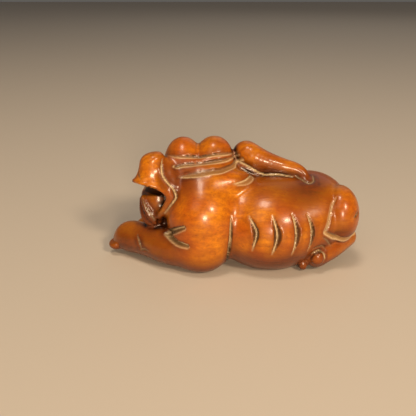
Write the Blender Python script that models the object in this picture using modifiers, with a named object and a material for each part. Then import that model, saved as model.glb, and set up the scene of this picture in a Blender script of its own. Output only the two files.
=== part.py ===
"""A small boxwood carving of an elephant that lies down and looks back over its far shoulder.

The carving is one solid. It is blocked out from ellipsoids and tapering limbs, fused by a voxel
remesh, and then every vertex is moved onto one smooth blend of the same masses, into which the
folds are cut. Last, it is thinned to a light mesh and its underside is planed flat.

X runs from the front foot (-) to the rump (+), the near flank faces -Y, and Z is up. The origin is
on the underside, below the middle of the carving.
"""

from math import radians

import bmesh
import bpy
import numpy as np
from mathutils import Euler, Matrix, Vector

# Overall sizes of the carving, in metres
LENGTH = 0.0630
DEPTH = 0.0334
HEIGHT = 0.0308

# The sizes of the cuts and small parts, in millimetres of the drawing below, which is made at
# about full size and then brought to exactly the overall sizes
RIB_DEPTH = 1.15
FOLD_DEPTH = 0.80
CREASE_DEPTH = 1.20
HAUNCH_DEPTH = 1.2
NAIL_SIZE = 1.0
TRUNK_TIP_RADIUS = 1.05
EAR_WALL = 1.3
EAR_FLARE = 2.4

# How fine the work is
BLOCK_VOXELS = (0.7, 0.5)
CARVED_VOXEL = 0.45
TRIANGLES = 9300
STEP_LIMIT = 0.45
PROBE = 0.02


def rotation(turn):
    """The 3x3 matrix of three turns about X, Y and Z, in degrees."""
    return np.array(Euler([radians(angle) for angle in turn]).to_matrix())


def smooth_min(a, b, blend):
    """The nearer of two surfaces, with a fillet of about the blend's size where they meet."""
    near = np.maximum(blend - np.abs(a - b), 0) / blend
    return np.minimum(a, b) - near * near * blend / 4


def smooth_max(a, b, blend):
    return -smooth_min(-a, -b, blend)


class Ellipsoid:
    """A rounded mass: a centre, three radii and a turn."""

    def __init__(self, centre, radii, turn=(0, 0, 0)):
        self.centre = np.array(centre, float)
        self.radii = np.array(radii, float)
        self.turn = rotation(turn)

    def distance(self, points):
        local = (points - self.centre) @ self.turn
        near = np.linalg.norm(local / self.radii, axis=1)
        slope = np.linalg.norm(local / self.radii**2, axis=1)
        return near * (near - 1) / np.maximum(slope, 1e-9)

    def block_out(self, mesh):
        turn = Matrix(self.turn.tolist()).to_4x4()
        place = Matrix.Translation(self.centre) @ turn @ Matrix.Diagonal((*self.radii, 1))
        bmesh.ops.create_icosphere(mesh, subdivisions=3, radius=1, matrix=place)


def smooth_path(stations, steps=5):
    """Stations (x, y, z, width) joined by a Catmull-Rom curve, as rows of the same kind."""
    rows = np.array(stations, float)
    padded = np.vstack([2 * rows[0] - rows[1], rows, 2 * rows[-1] - rows[-2]])
    path = [rows[0]]
    for i in range(len(rows) - 1):
        before, start, end, after = padded[i : i + 4]
        for t in np.linspace(0, 1, steps + 1)[1:]:
            bend = (2 * before - 5 * start + 4 * end - after) * t**2
            twist = (3 * start - before - 3 * end + after) * t**3
            path.append(0.5 * (2 * start + (end - before) * t + bend + twist))
    return np.array(path)


def near_path(points, path, reach):
    """The numbers of the points near the path, their offsets from it, the width and the way left.

    Where the path's rows go on with a normal, the offset is measured across the surface.
    """
    corner, far_corner = path[:, :3].min(axis=0) - reach, path[:, :3].max(axis=0) + reach
    close = np.flatnonzero(((points > corner) & (points < far_corner)).all(axis=1))
    inside = points[close]
    offsets = np.full((len(close), 3), 1e3)
    widths = np.zeros(len(close))
    lefts = np.zeros((len(close), 3))
    best = np.full(len(close), 1e6)
    for start, end in zip(path[:-1], path[1:]):
        run = end[:3] - start[:3]
        share = np.clip((inside - start[:3]) @ run / max(run @ run, 1e-9), 0, 1)
        offset = inside - start[:3] - share[:, None] * run
        if len(start) > 4:
            depth = offset @ start[4:]
            offset = offset - depth[:, None] * start[4:]
            offset[np.abs(depth) > reach] = 1e3
            left = np.cross(start[4:], run)
        width = start[3] + share * (end[3] - start[3])
        gap = np.linalg.norm(offset, axis=1) - width
        closer = gap < best
        best[closer] = gap[closer]
        offsets[closer] = offset[closer]
        widths[closer] = width[closer]
        if len(start) > 4:
            lefts[closer] = left / np.linalg.norm(left)
    return close, offsets, widths, lefts


class Limb:
    """A tapering, bending mass such as a leg or the trunk, by stations (x, y, z, radius)."""

    def __init__(self, *stations):
        self.path = smooth_path(stations)

    def distance(self, points):
        close, offsets, radii, _ = near_path(points, self.path, self.path[:, 3].max() + 4)
        skin = np.full(len(points), 1e3)
        skin[close] = np.linalg.norm(offsets, axis=1) - radii
        return skin

    def block_out(self, mesh):
        for x, y, z, radius in self.path:
            place = Matrix.Translation((x, y, z))
            bmesh.ops.create_icosphere(mesh, subdivisions=2, radius=radius, matrix=place)


class EarBell:
    """The near ear: a flap that hangs like a bell, hollow below, with a flared brim."""

    rim_centre = np.array((-19.9, -4.5, 19.7))
    rim_normal = np.array(Vector((0.33, 0.36, 1.0)).normalized())
    top_normal = np.array(Vector((-0.18, 0.0, 1.0)).normalized())
    lean = np.array((0.05, 0.04))
    narrowing = np.array((1.0, 1.12))
    neck_radius = 2.8
    flare_run = 1.8
    hollow_height = 3.6
    height = 8.4

    def distance(self, points):
        offset = points - self.rim_centre
        above = offset @ self.rim_normal
        spread = (offset[:, :2] - offset[:, 2:] * self.lean) * self.narrowing
        radial = np.linalg.norm(spread, axis=1)
        radius = self.neck_radius + EAR_FLARE * np.exp(-np.maximum(above, 0) / self.flare_run)
        outer = np.maximum((radial - radius) * 0.85, -above)
        outer = smooth_max(outer, offset @ self.top_normal - self.height, 2.0)
        hollow = np.maximum((radial - radius + EAR_WALL) * 0.85, above - self.hollow_height)
        return smooth_max(outer, -hollow, 0.3)

    def block_out(self, mesh):
        self.cone(mesh, 0.0, 2.0, self.neck_radius + EAR_FLARE, self.neck_radius)
        for share in (0.35, 0.5, 0.65):
            place = Matrix.Translation(self.rim_centre + share * self.height * self.axis())
            bmesh.ops.create_icosphere(
                mesh, subdivisions=3, radius=self.neck_radius, matrix=place
            )

    def hollow_out(self, mesh):
        """The cutter that clears the hollow, and the gap below it down to the cheek."""
        rim_radius = self.neck_radius + EAR_FLARE - EAR_WALL
        self.cone(mesh, -1.2, self.hollow_height, rim_radius, self.neck_radius - EAR_WALL)

    def axis(self):
        return np.array((*self.lean, 1.0))

    def cone(self, mesh, start, end, start_radius, end_radius):
        turn = Vector(self.rim_normal).to_track_quat("Z", "Y").to_matrix().to_4x4()
        middle = self.rim_centre + (start + end) / 2 * self.axis()
        bmesh.ops.create_cone(
            mesh,
            cap_ends=True,
            segments=48,
            radius1=start_radius,
            radius2=end_radius,
            depth=end - start,
            matrix=Matrix.Translation(middle) @ turn,
        )


class Cluster:
    """A few masses that are joined to each other with a fillet of their own."""

    def __init__(self, blend, *masses):
        self.masses = masses
        self.blend = blend

    def distance(self, points):
        surface = self.masses[0].distance(points)
        for mass in self.masses[1:]:
            surface = smooth_min(surface, mass.distance(points), self.blend)
        return surface

    def block_out(self, mesh):
        for mass in self.masses:
            mass.block_out(mesh)


class Sliced:
    """A mass with one flat face, where a plane cuts it short."""

    def __init__(self, mass, point, normal, blend=0.3):
        self.mass = mass
        self.point = np.array(point, float)
        self.normal = np.array(Vector(normal).normalized())
        self.blend = blend

    def distance(self, points):
        beyond = (points - self.point) @ self.normal
        return smooth_max(self.mass.distance(points), beyond, self.blend)

    def block_out(self, mesh):
        whole = bmesh.new()
        self.mass.block_out(whole)
        cut = bmesh.ops.bisect_plane(
            whole,
            geom=[*whole.verts, *whole.edges, *whole.faces],
            plane_co=self.point,
            plane_no=self.normal,
            clear_outer=True,
        )
        edges = [part for part in cut["geom_cut"] if isinstance(part, bmesh.types.BMEdge)]
        bmesh.ops.holes_fill(whole, edges=edges)
        piece = bpy.data.meshes.new("sliced")
        whole.to_mesh(piece)
        whole.free()
        mesh.from_mesh(piece)
        bpy.data.meshes.remove(piece)


def body_masses():
    """Barrel, neck, shoulders and haunches, each with the fillet that joins it on."""
    return [
        (Ellipsoid((9.0, 0.0, 9.8), (15.5, 15.6, 12.2)), 0.1),
        (Ellipsoid((19.0, 0.2, 11.6), (10.4, 12.0, 10.2)), 3.0),
        (Ellipsoid((-5.0, 1.0, 12.0), (12.5, 12.6, 11.5)), 3.0),
        (Ellipsoid((-7.6, 0.0, 17.3), (9.8, 10.6, 9.1)), 2.0),
        (Ellipsoid((-7.6, -7.0, 12.4), (8.6, 7.8, 9.2)), 2.0),
        (Ellipsoid((-8.0, -8.4, 6.2), (7.4, 6.2, 6.6)), 2.0),
        (Ellipsoid((-6.0, 8.0, 11.0), (9.0, 7.2, 9.0)), 2.0),
        (Ellipsoid((25.4, -4.4, 12.8), (5.0, 6.6, 7.3)), 0.5),
        (Ellipsoid((23.6, 6.5, 11.6), (5.6, 6.4, 6.8)), 1.0),
        (Limb((-5.0, -5.0, 21.0, 3.6), (-1.0, -4.6, 20.8, 3.3), (1.4, -3.6, 20.6, 3.0)), 1.6),
        (Limb((-12.6, -0.8, 21.5, 4.2), (-8.5, -1.3, 21.5, 5.0), (-3.6, -0.8, 21.8, 4.6)), 1.5),
    ]


def leg_masses():
    """Forelegs stretched to the front, hind feet tucked forward under the haunches."""
    near_fore = Limb(
        (-8.0, -8.6, 5.4, 5.2),
        (-15.0, -6.6, 5.2, 4.8),
        (-20.0, -3.4, 5.2, 4.5),
        (-23.3, -1.4, 4.9, 4.1),
        (-26.0, 0.2, 4.7, 4.0),
        (-27.5, 0.7, 4.1, 3.2),
    )
    far_fore = Limb(
        (-6.0, 9.5, 5.4, 5.0),
        (-13.0, 9.4, 4.9, 4.6),
        (-18.5, 8.2, 4.6, 4.2),
        (-22.5, 6.8, 3.8, 3.4),
    )
    near_hind = Limb((28.0, -3.4, 6.3, 2.7), (23.8, -6.4, 4.9, 3.0), (20.0, -8.2, 3.7, 3.2))
    far_hind = Limb((26.6, 5.0, 5.0, 2.9), (22.2, 8.4, 4.3, 3.1), (18.0, 10.2, 3.7, 3.2))
    return [(near_fore, 1.0), (far_fore, 1.0), (near_hind, 0.6), (far_hind, 0.6)]


def head_masses():
    """Skull with its twin domes, near ear, cheek, and the side of the mouth."""
    skull = Ellipsoid((-9.0, 4.0, 20.0), (8.6, 8.4, 7.6))
    temple = Ellipsoid((-12.4, 0.5, 21.6), (5.0, 6.0, 6.2))
    domes = Cluster(
        0.7,
        Ellipsoid((-12.4, 1.8, 25.5), (4.3, 4.6, 5.0)),
        Ellipsoid((-4.8, 1.8, 25.6), (4.6, 4.8, 5.1)),
    )
    cheek = Cluster(
        1.5,
        Ellipsoid((-18.4, -0.4, 15.5), (4.4, 4.8, 5.0), (0, 0, 20)),
        Limb((-19.0, -2.2, 16.2, 3.2), (-18.6, -3.6, 13.4, 2.1), (-18.4, -4.0, 10.8, 1.2)),
    )
    lip = Cluster(
        0.15,
        Limb(
            (-22.2, -3.6, 17.6, 0.5),
            (-21.6, -4.8, 15.6, 0.8),
            (-20.3, -5.6, 13.0, 0.9),
            (-19.3, -5.6, 11.0, 0.6),
        ),
        Limb(
            (-22.5, -2.0, 15.8, 0.7),
            (-22.3, -3.0, 13.4, 0.9),
            (-21.4, -4.0, 11.2, 1.0),
            (-19.6, -4.6, 10.2, 0.9),
        ),
    )
    lobe = Limb(
        (-17.4, -6.0, 23.8, 0.8),
        (-16.7, -7.2, 22.2, 1.1),
        (-15.6, -8.1, 20.4, 1.2),
        (-15.2, -8.4, 18.4, 1.0),
        (-16.4, -7.6, 15.8, 0.8),
        (-18.0, -6.2, 13.0, 0.7),
    )
    web = Limb(
        (-16.2, -2.6, 25.6, 0.9),
        (-15.6, -4.2, 24.4, 1.1),
        (-14.9, -5.9, 22.8, 1.2),
        (-14.4, -7.0, 21.0, 1.0),
    )
    flap = Limb(
        (-19.4, -3.0, 24.2, 2.6),
        (-18.8, -0.2, 22.4, 3.4),
        (-17.4, 3.0, 20.0, 4.2),
        (-16.0, 5.0, 17.5, 4.2),
    )
    return [
        (skull, 1.5),
        (temple, 1.5),
        (domes, 2.2),
        (Sliced(cheek, (-19.0, -5.6, 18.0), (-0.1, 0.1, 1.0)), 0.5),
        (Ellipsoid((-18.4, 1.0, 17.4), (3.8, 4.4, 5.6), (0, 0, 10)), 1.5),
        (lip, 0.25),
        (EarBell(), 0.3),
        (lobe, 1.6),
        (flap, 1.0),
        (web, 2.0),
    ]


def trunk_masses():
    """The trunk leaves the face on the far side, turns back and lies over the spine."""
    trunk = Limb(
        (-9.8, 7.6, 19.6, 4.6),
        (-9.4, 12.0, 15.5, 4.4),
        (-5.0, 13.6, 12.6, 4.1),
        (0.8, 13.0, 14.2, 3.8),
        (4.2, 11.2, 18.4, 3.5),
        (4.4, 7.4, 23.0, 3.3),
        (3.1, 2.8, 26.0, 3.25),
        (7.2, 0.8, 24.8, 2.6),
        (11.7, 0.2, 23.6, 2.05),
        (14.9, -0.5, 23.0, 1.7),
        (16.7, -1.3, 22.1, 1.35),
        (17.4, -2.2, 20.8, TRUNK_TIP_RADIUS),
    )
    bed = Limb(
        (2.0, 0.8, 23.4, 1.7),
        (5.0, 0.5, 22.8, 1.8),
        (8.5, 0.2, 22.4, 1.6),
        (12.0, -0.2, 22.0, 1.2),
        (15.0, -0.8, 21.6, 0.9),
    )
    return [(bed, 0.6), (trunk, 0.9)]


def far_masses():
    """The face and what else lies out of the first view: eyes, tusk, jaw, far ear and tail."""
    tusk = Limb((-14.2, 9.8, 15.0, 1.4), (-15.8, 12.4, 12.8, 1.2), (-16.0, 13.8, 10.4, 0.7))
    tail = Limb(
        (26.8, 2.6, 15.6, 1.3),
        (28.9, 2.6, 13.4, 1.25),
        (29.3, 3.6, 10.0, 1.1),
        (28.9, 6.2, 6.8, 1.0),
        (27.0, 9.6, 5.2, 1.1),
        (24.9, 11.8, 4.0, 1.6),
        (23.0, 13.0, 2.8, 0.8),
    )
    return [
        (Ellipsoid((-15.3, 8.9, 20.8), (1.5, 1.2, 1.1)), 0.15),
        (Ellipsoid((-3.9, 10.2, 20.9), (1.5, 1.2, 1.1)), 0.15),
        (Ellipsoid((-12.6, 8.8, 12.4), (3.8, 3.8, 3.2)), 0.4),
        (tusk, 0.15),
        (Ellipsoid((1.4, 7.4, 17.4), (1.7, 4.8, 6.2), (0, -8, -25)), 0.3),
        (tail, 0.2),
    ]


def nail_masses():
    front = Ellipsoid((-29.9, 0.0, 2.9), np.array((2.0, 2.3, 1.6)) * NAIL_SIZE)
    far_fore = [(-25.3, 5.0, 2.4), (-25.7, 7.4, 2.4), (-24.4, 9.6, 2.4)]
    far_hind = [(16.6, 13.0, 4.0), (14.8, 11.4, 2.0)]
    small = np.array((1.2, 1.2, 1.6)) * NAIL_SIZE
    far = [(Ellipsoid(centre, small), 0.15) for centre in far_fore + far_hind]
    return far + [
        (Sliced(front, (-29.9, 0.0, 3.9), (-0.45, -0.1, 1.0)), 0.15),
        (Ellipsoid((19.9, -10.9, 4.0), np.array((1.6, 1.3, 1.9)) * NAIL_SIZE), 0.15),
        (Ellipsoid((16.7, -9.9, 1.7), np.array((1.1, 1.0, 1.3)) * NAIL_SIZE), 0.15),
    ]


MASSES = body_masses() + leg_masses() + head_masses() + trunk_masses() + far_masses() + nail_masses()


def masses_field(points):
    """Signed distance from the blended masses, below zero inside, before any fold is cut."""
    surface = np.full(len(points), 1e3)
    for mass, blend in MASSES:
        surface = smooth_min(surface, mass.distance(points), blend)
    return surface


def slope_of(field, points):
    """The field and its gradient."""
    here = field(points)
    steps = [field(points + np.eye(3)[axis] * PROBE) - here for axis in range(3)]
    return here, np.stack(steps, axis=1) / PROBE


def settled(points, rounds, cuts=()):
    """The points, each walked square to the masses' skin until it lies on it, or in a cut."""
    for _ in range(rounds):
        here, slope = slope_of(masses_field, points)
        removed = np.zeros(len(points))
        for cut in cuts:
            removed = np.maximum(removed, cut.depth_at(points))
        reach = (here + removed) / np.maximum((slope**2).sum(axis=1), 0.25)
        move = reach[:, None] * slope
        length = np.linalg.norm(move, axis=1, keepdims=True)
        points = points - move * np.minimum(1, STEP_LIMIT / np.maximum(length, 1e-9))
    return points


class Cut:
    """A fold along stations (x, y, z, half width). Power 1 is a knife's V, less is a gouge.

    A lean of 0.5 puts the deepest line halfway to the left edge, seen along the path from outside,
    so that the wall on the left is steep and the one on the right is broad.
    """

    def __init__(self, depth, *stations, power=1.0, lean=0.0):
        rows = np.array(stations, float)
        rows[:, :3] = settled(rows[:, :3], 12)
        self.path = smooth_path(rows)
        slope = slope_of(masses_field, self.path[:, :3])[1]
        normals = slope / np.linalg.norm(slope, axis=1, keepdims=True)
        self.path = np.hstack([self.path, normals])
        self.widest = rows[:, 3].max()
        self.depth = depth
        self.power = power
        self.lean = lean

    def across(self, points):
        """The points in reach, how far left of the deepest line they are, and more of the kind."""
        close, offsets, widths, lefts = near_path(points, self.path, self.widest * 1.5 + self.depth)
        widths = np.maximum(widths, 0.05)
        side = np.sign((offsets * lefts).sum(axis=1))
        place = side * np.linalg.norm(offsets, axis=1)
        deepest = self.lean * widths
        room = np.where(place > deepest, widths - deepest, widths + deepest)
        return close, place, deepest, np.maximum(1 - np.abs(place - deepest) / room, 0), widths, lefts

    def depth_at(self, points):
        close, _, _, share, widths, _ = self.across(points)
        depth = np.zeros(len(points))
        depth[close] = self.depth * widths / self.widest * share**self.power
        return depth


def flank_cuts():
    near = [
        (
            (-1.0, -11.9, 15.6, 0.2),
            (-1.0, -12.7, 12.2, 0.6),
            (-1.2, -12.4, 8.2, 0.7),
            (-1.5, -11.5, 4.6, 0.7),
            (-1.6, -9.0, 1.0, 0.8),
        ),
        ((3.0, -12.5, 15.8, 0.1), (4.6, -14.7, 12.2, 1.2), (3.9, -14.5, 7.6, 0.1)),
        ((8.3, -13.3, 16.3, 0.1), (9.6, -15.4, 11.7, 1.3), (8.4, -15.2, 6.9, 0.1)),
        ((12.8, -12.6, 16.5, 0.1), (14.3, -14.4, 12.0, 1.2), (13.1, -14.5, 6.5, 0.1)),
        ((16.4, -11.7, 15.9, 0.1), (18.0, -12.9, 11.8, 1.0), (17.1, -12.8, 6.7, 0.1)),
    ]
    far = [[(x, -y, z, width) for x, y, z, width in fold] for fold in near]
    return [Cut(RIB_DEPTH, *fold) for fold in near + far]


def nape_cuts():
    upper = (
        (-15.8, -1.7, 26.6, 0.1),
        (-13.1, -3.1, 27.1, 0.4),
        (-9.4, -2.6, 26.9, 0.5),
        (-5.6, -2.9, 27.4, 0.45),
        (-2.0, -1.8, 27.4, 0.4),
        (-0.2, 1.3, 26.6, 0.1),
    )
    middle = (
        (-15.8, -3.3, 24.4, 0.1),
        (-13.1, -4.6, 25.2, 0.7),
        (-8.0, -4.5, 25.9, 0.7),
        (-2.9, -3.3, 26.2, 0.55),
        (-0.8, -1.4, 26.2, 0.35),
        (-0.1, 0.8, 26.0, 0.15),
    )
    lower = (
        (-13.3, -6.1, 22.8, 0.1),
        (-11.0, -6.8, 23.6, 0.6),
        (-8.6, -7.0, 24.1, 0.9),
        (-4.3, -6.3, 24.6, 1.05),
        (-2.1, -4.9, 24.7, 0.85),
        (-0.3, -2.6, 24.7, 0.65),
        (0.9, 1.0, 24.4, 0.3),
    )
    crescent = (
        (3.4, -2.0, 23.0, 0.1),
        (4.2, -3.0, 22.5, 0.5),
        (3.9, -4.4, 22.2, 0.75),
        (2.7, -6.1, 21.8, 0.7),
        (0.9, -7.3, 21.7, 0.4),
        (-0.4, -7.8, 21.8, 0.1),
    )
    wrinkles = [Cut(FOLD_DEPTH, *line, power=0.9, lean=0.55) for line in (upper, middle, lower)]
    return wrinkles + [Cut(0.7 * FOLD_DEPTH, *crescent, lean=-0.5)]


def leg_cuts():
    elbow = [
        ((-15.9, -8.7, 9.8, 0.9), (-13.8, -12.4, 12.0, 0.8), (-12.0, -13.6, 13.1, 0.6)),
        ((-15.8, -9.0, 9.8, 0.9), (-13.6, -12.5, 8.7, 0.8), (-11.3, -14.0, 8.6, 0.6)),
    ]
    haunch_under = (
        (21.1, -11.8, 11.2, 0.4),
        (23.3, -10.6, 9.6, 0.6),
        (25.8, -9.4, 8.4, 0.8),
        (28.2, -7.8, 8.2, 1.1),
        (29.8, -5.4, 8.6, 0.9),
        (30.2, -2.6, 9.0, 0.2),
    )
    creases = [Cut(CREASE_DEPTH, *line) for line in elbow]
    return creases + [Cut(HAUNCH_DEPTH, *haunch_under, lean=0.6)]


CUTS = flank_cuts() + nape_cuts() + leg_cuts()


def linked(name, mesh, collection):
    thing = bpy.data.objects.new(name, mesh)
    collection.objects.link(thing)
    return thing


def evaluated_mesh(thing):
    """The mesh that the object's modifiers make. The object and its modifiers are removed."""
    bpy.context.view_layer.update()
    graph = bpy.context.evaluated_depsgraph_get()
    mesh = bpy.data.meshes.new_from_object(thing.evaluated_get(graph))
    bpy.data.objects.remove(thing)
    return mesh


def remeshed(mesh, voxel, collection):
    thing = linked("work", mesh, collection)
    fuse = thing.modifiers.new("Fuse", "REMESH")
    fuse.mode = "VOXEL"
    fuse.voxel_size = voxel
    return evaluated_mesh(thing)


def vertices_of(mesh):
    points = np.empty(len(mesh.vertices) * 3)
    mesh.vertices.foreach_get("co", points)
    return points.reshape(-1, 3)


def place_vertices(mesh, points):
    mesh.vertices.foreach_set("co", points.ravel())
    mesh.update()


def evened(mesh, points, share):
    """The points, each moved a share of the way to the middle of its neighbours."""
    ends = np.empty(len(mesh.edges) * 2, np.int32)
    mesh.edges.foreach_get("vertices", ends)
    first, second = ends.reshape(-1, 2).T
    count = np.bincount(ends, minlength=len(points))
    middle = np.empty_like(points)
    for axis in range(3):
        value = points[:, axis]
        middle[:, axis] = np.bincount(first, value[second], len(points))
        middle[:, axis] += np.bincount(second, value[first], len(points))
    return points + share * (middle / count[:, None] - points)


def settle(mesh, passes, cuts=()):
    """Moves the mesh's vertices onto the carved surface, keeping them evenly spread."""
    points = vertices_of(mesh)
    for _ in range(passes):
        points = settled(evened(mesh, points, 0.5), 2, cuts)
    place_vertices(mesh, settled(points, 3, cuts))


def mesh_of(shape):
    mesh = bpy.data.meshes.new("blocks")
    shape.to_mesh(mesh)
    shape.free()
    return mesh


def hollowed(mesh, collection, cutters):
    """The blocks with the hollow of the near ear cleared."""
    hollow = bmesh.new()
    EarBell().hollow_out(hollow)
    cutter = linked("ear_hollow", mesh_of(hollow), cutters)
    thing = linked("work", mesh, collection)
    clear = thing.modifiers.new("Clear the ear", "BOOLEAN")
    clear.operation = "DIFFERENCE"
    clear.object = cutter
    cleared = evaluated_mesh(thing)
    bpy.data.objects.remove(cutter)
    return cleared


def carve(collection, cutters):
    """The whole carving as one closed mesh, in drawn millimetres."""
    blocks = bmesh.new()
    for mass, _ in MASSES:
        mass.block_out(blocks)
    mesh = remeshed(mesh_of(blocks), BLOCK_VOXELS[0], collection)
    mesh = hollowed(mesh, collection, cutters)
    for voxel in BLOCK_VOXELS:
        mesh = remeshed(mesh, voxel, collection)
        settle(mesh, 3)
    mesh = remeshed(mesh, CARVED_VOXEL, collection)
    settle(mesh, 2, CUTS)
    return mesh


def thinned(mesh, collection):
    thing = linked("work", mesh, collection)
    thin = thing.modifiers.new("Thin", "DECIMATE")
    thin.ratio = TRIANGLES / (2 * len(mesh.polygons))
    thin.use_collapse_triangulate = True
    return evaluated_mesh(thing)


def sized(points):
    """The drawn points brought to the overall sizes, in metres, centred over the origin."""
    low, high = points.min(axis=0), points.max(axis=0)
    low[2] = 0
    middle = (low + high) / 2
    middle[2] = 0
    return (points - middle) * np.array((LENGTH, DEPTH, HEIGHT)) / (high - low)


def wood():
    material = bpy.data.materials.new("boxwood")
    material.use_nodes = True
    shader = material.node_tree.nodes["Principled BSDF"]
    shader.inputs["Base Color"].default_value = (0.42, 0.14, 0.022, 1)
    shader.inputs["Roughness"].default_value = 0.28
    shader.inputs["Metallic"].default_value = 0.0
    return material


def main():
    for thing in list(bpy.data.objects):
        bpy.data.objects.remove(thing)
    collection = bpy.data.collections.new("wooden_elephant_figurine")
    bpy.context.scene.collection.children.link(collection)
    cutters = bpy.data.collections.new("cutters")
    bpy.context.scene.collection.children.link(cutters)

    mesh = thinned(carve(collection, cutters), collection)
    place_vertices(mesh, sized(vertices_of(mesh)))
    mesh.materials.append(wood())
    mesh.shade_smooth()
    elephant = linked("elephant", mesh, collection)

    bpy.ops.mesh.primitive_cube_add(size=2 * LENGTH, location=(0, 0, -LENGTH))
    plane = bpy.context.object
    plane.name = "underside_plane"
    for owner in list(plane.users_collection):
        owner.objects.unlink(plane)
    cutters.objects.link(plane)
    plane.hide_render = True
    plane.display_type = "WIRE"
    planed = elephant.modifiers.new("Plane the underside", "BOOLEAN")
    planed.operation = "DIFFERENCE"
    planed.object = plane


main()
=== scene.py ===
# %% [markdown]
# # A carved boxwood elephant
#
# The real object is a small carving that fits in a closed hand: an elephant that lies down, with
# its forelegs stretched out, and turns its head back over its far shoulder, so that the trunk lies
# along its own spine. It was cut from one block of boxwood with knives and small gouges, stained,
# and then polished by years of handling.
#
# One block means one piece here too. The simple model that this script loads has the true outline
# and the larger folds. The lesson takes a copy of it, brings it to a mesh fine enough for knife
# work, cuts every fold and wrinkle again with crisp edges, and then stains and polishes the wood,
# with shade and light painted into its colour.

# %% Load the simple model
from math import radians

import bpy
import numpy as np
from mathutils import Euler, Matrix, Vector


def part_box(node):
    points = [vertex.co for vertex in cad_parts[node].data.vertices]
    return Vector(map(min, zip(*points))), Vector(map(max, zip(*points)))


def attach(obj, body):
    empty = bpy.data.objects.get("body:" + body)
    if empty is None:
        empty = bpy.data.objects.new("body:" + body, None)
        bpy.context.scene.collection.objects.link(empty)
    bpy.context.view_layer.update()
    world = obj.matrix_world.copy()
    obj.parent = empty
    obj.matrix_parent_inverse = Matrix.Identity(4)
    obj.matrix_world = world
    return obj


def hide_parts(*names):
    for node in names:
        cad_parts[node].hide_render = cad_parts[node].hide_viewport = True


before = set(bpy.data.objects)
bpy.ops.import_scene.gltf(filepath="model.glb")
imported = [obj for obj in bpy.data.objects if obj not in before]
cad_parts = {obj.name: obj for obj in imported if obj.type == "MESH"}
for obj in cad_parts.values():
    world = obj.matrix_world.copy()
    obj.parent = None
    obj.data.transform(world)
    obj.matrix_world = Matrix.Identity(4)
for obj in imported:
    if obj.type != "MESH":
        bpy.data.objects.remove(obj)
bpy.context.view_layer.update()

MM = 1000.0

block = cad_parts["elephant"]
low, high = (np.array(corner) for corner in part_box("elephant"))
print("the block measures", np.round((high - low) * MM, 1), "mm")

# %% [markdown]
# ## The camera
#
# The carving is seen from its near flank, from a little above, at about twice its own length away.
# A camera could be aimed with a constraint. Here it simply stands square to the length of the
# carving and is tipped down, because that is one place and one angle, and both can be read.

# %% Set up the camera
CAMERA_PLACE = (-0.0058, -0.1369, 0.0675)
CAMERA_TIP = 22.0

camera = bpy.data.objects.new("camera", bpy.data.cameras.new("camera"))
camera.data.lens = 50
camera.data.sensor_width = 36
camera.data.clip_start = 0.01
camera.location = CAMERA_PLACE
camera.rotation_euler = (radians(90 - CAMERA_TIP), 0, 0)
bpy.context.scene.collection.objects.link(camera)
bpy.context.scene.camera = camera
print("the camera is tipped down by", CAMERA_TIP, "degrees")

# %% [markdown]
# ## A way to describe rounded wood
#
# A carver thinks in masses: this is the barrel, that is a shoulder, and the knife runs a small
# hollow where they meet. Such a form can be sculpted by hand with brushes, or joined from many
# meshes with Booleans. It can also be described by distance: each mass is a small function that
# says how far a point is from its skin, below zero inside. The nearer of two such distances is
# both masses together, and rounding that choice off gives the hollow between them.
#
# This way was chosen because every mass stays a line of plain sizes, in millimetres, and the same
# description then moves each vertex of a fine mesh to exactly where the wood ends.

# %% Blend two distances
def smooth_min(a, b, blend):
    """The nearer of two skins, with a hollow of about the blend's size where they meet."""
    near = np.maximum(blend - np.abs(a - b), 0) / blend
    return np.minimum(a, b) - near * near * blend / 4


def smooth_max(a, b, blend):
    """The farther of two skins, rounded off in the same way, for what is cut away."""
    return -smooth_min(-a, -b, blend)


print("halfway between two skins, the hollow stands", -smooth_min(0.0, 0.0, 2.0), "mm proud")

# %% [markdown]
# The roundest masses, such as the barrel of the body and the domes of the skull, are ellipsoids: a
# centre, three radii, and sometimes a turn.

# %% An egg-shaped mass
class Egg:
    """A rounded mass: a centre, three radii and a turn in degrees about each axis."""

    def __init__(self, centre, radii, turn=(0, 0, 0)):
        self.centre = np.array(centre, float)
        self.radii = np.array(radii, float)
        self.turn = np.array(Euler([radians(angle) for angle in turn]).to_matrix())

    def distance(self, points):
        local = (points - self.centre) @ self.turn
        near = np.linalg.norm(local / self.radii, axis=1)
        slope = np.linalg.norm(local / self.radii**2, axis=1)
        return near * (near - 1) / np.maximum(slope, 1e-9)


above_egg = Egg((0, 0, 0), (2, 3, 4)).distance(np.array([[0, 0, 5.0]]))[0]
print("a point over an egg 4 mm high, at 5 mm, is", above_egg, "mm off its skin")

# %% [markdown]
# Legs, the trunk and the folds of skin are long, bend, and get thinner. Each follows a few
# stations, a place and a width, which a smooth curve joins. The same curve serves for a mass and
# for a knife cut, so it gets one helper that finds the nearest part of the curve for each point.

# %% A bending, tapering path
# A point out of a path's reach counts as this many millimetres away from it
FAR_OFF = 1e3


def smooth_path(stations, steps=5):
    """Stations (x, y, z, width) joined by a Catmull-Rom curve, as rows of the same kind."""
    rows = np.array(stations, float)
    padded = np.vstack([2 * rows[0] - rows[1], rows, 2 * rows[-1] - rows[-2]])
    path = [rows[0]]
    for i in range(len(rows) - 1):
        before, start, end, after = padded[i : i + 4]
        for t in np.linspace(0, 1, steps + 1)[1:]:
            bend = (2 * before - 5 * start + 4 * end - after) * t**2
            twist = (3 * start - before - 3 * end + after) * t**3
            path.append(0.5 * (2 * start + (end - before) * t + bend + twist))
    return np.array(path)


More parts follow.
